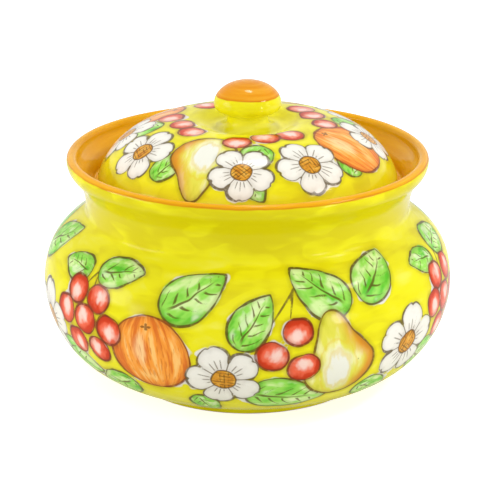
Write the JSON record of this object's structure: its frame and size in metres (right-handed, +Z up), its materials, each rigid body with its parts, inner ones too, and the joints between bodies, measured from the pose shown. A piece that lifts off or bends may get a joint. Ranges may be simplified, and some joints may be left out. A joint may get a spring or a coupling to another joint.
{
  "type": "lidded cookie jar",
  "caption": "Wide round-bellied glazed earthenware jar with a flared mouth, an inner gallery and a domed, knobbed lid that lifts off.",
  "frame": {"origin": "centre of the circle on which the foot ring stands", "axes": "+Z up along the axis on which the jar, the lid and the knob were thrown; +X and +Y are free, because the solids are round"},
  "size_m": [0.25, 0.25, 0.1843],
  "materials": {
    "jar_glaze": "glossy hand-brushed lemon-yellow glaze with painted fruit and blossoms",
    "lid_glaze": "glossy hand-brushed lemon-yellow glaze with painted fruit and blossoms",
    "knob_glaze": "glossy brushed orange cap over yellow glaze"
  },
  "bodies": {
    "jar": {"jar_body": "jar_glaze"},
    "lid_assembly": {"lid": "lid_glaze", "lid_knob": "knob_glaze"}
  },
  "joints": [
    {"name": "lid_lift", "type": "slide", "parent": "jar", "child": "lid_assembly", "axis": [0, 0, 1], "range_m": [0, 0.12]}
  ]
}
